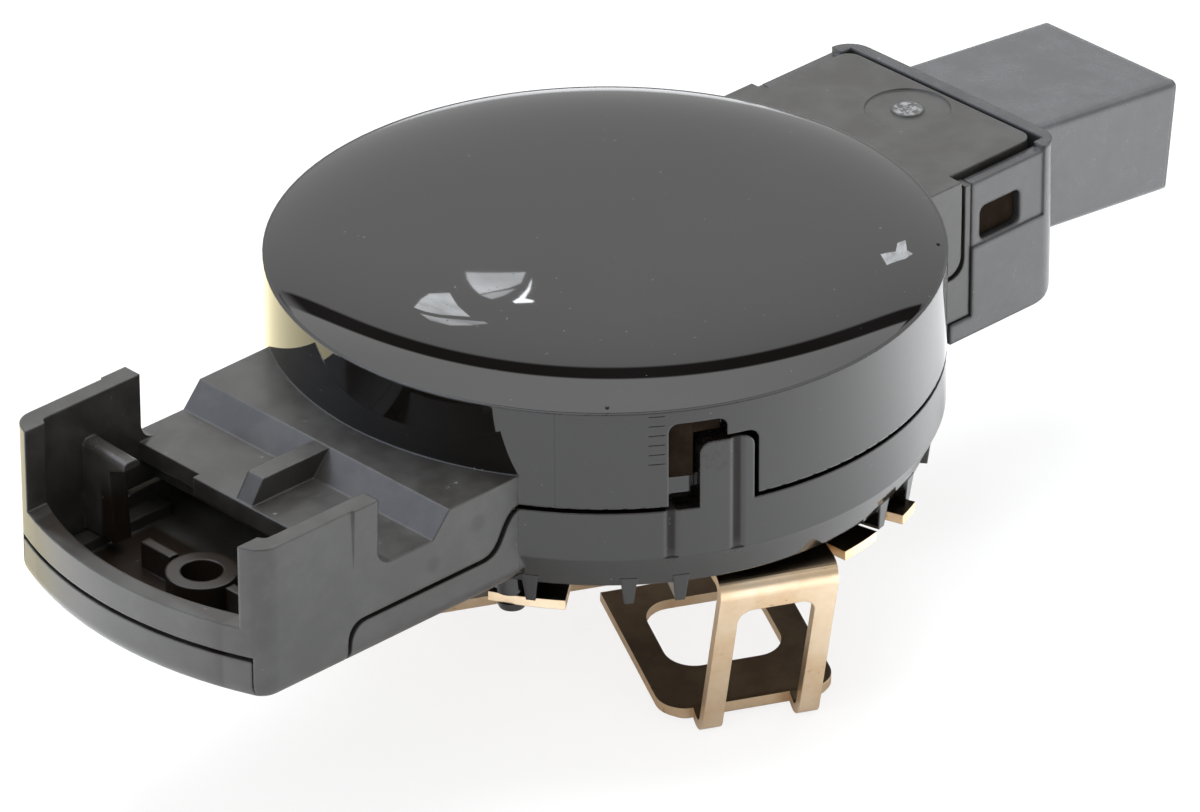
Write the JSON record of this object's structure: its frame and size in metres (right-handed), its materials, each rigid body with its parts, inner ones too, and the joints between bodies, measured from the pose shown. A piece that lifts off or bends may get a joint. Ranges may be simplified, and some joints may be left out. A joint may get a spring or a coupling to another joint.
{
  "type": "rain sensor",
  "caption": "Windscreen rain sensor: glossy coupling pad on a disc housing with a tray arm, a cable connector arm and a sprung steel clip plate beneath.",
  "frame": {"origin": "crown of the coupling pad, the point that meets the glass", "axes": "+Z out of the pad towards the glass, +X along the arms towards the connector"},
  "size_m": [0.0815, 0.04, 0.0264],
  "materials": {
    "pad": "mirror gloss, dark tinted",
    "upper_plastic": "glossy disc wall, fine satin arms",
    "lower_plastic": "semi gloss",
    "collar_plastic": "satin",
    "connector_plastic": "satin",
    "optic": "dark red tinted, polished",
    "shield": "matt black",
    "board": "green solder mask",
    "package": "moulded epoxy",
    "clear_package": "clear epoxy",
    "ceramic": "ceramic",
    "pin_metal": "tin plated",
    "spring_steel": "passivated spring steel with a pale bronze tint"
  },
  "bodies": {
    "root": {"coupling_pad": "pad", "optic_plate": "optic", "upper_housing": "upper_plastic", "lower_housing": "lower_plastic", "connector_collar": "collar_plastic", "connector_shroud": "connector_plastic", "circuit_board": "board", "light_shield": "shield", "retaining_spring": "spring_steel", "contact_pin_1": "pin_metal", "contact_pin_2": "pin_metal", "contact_pin_3": "pin_metal", "infrared_emitter_1": "clear_package", "infrared_emitter_2": "clear_package", "light_receiver_1": "package", "light_receiver_2": "package", "ambient_light_sensor": "clear_package", "forward_light_sensor": "clear_package", "control_chip": "package", "bus_driver": "package", "capacitor_1": "ceramic", "capacitor_2": "ceramic", "capacitor_3": "ceramic"}
  },
  "joints": []
}
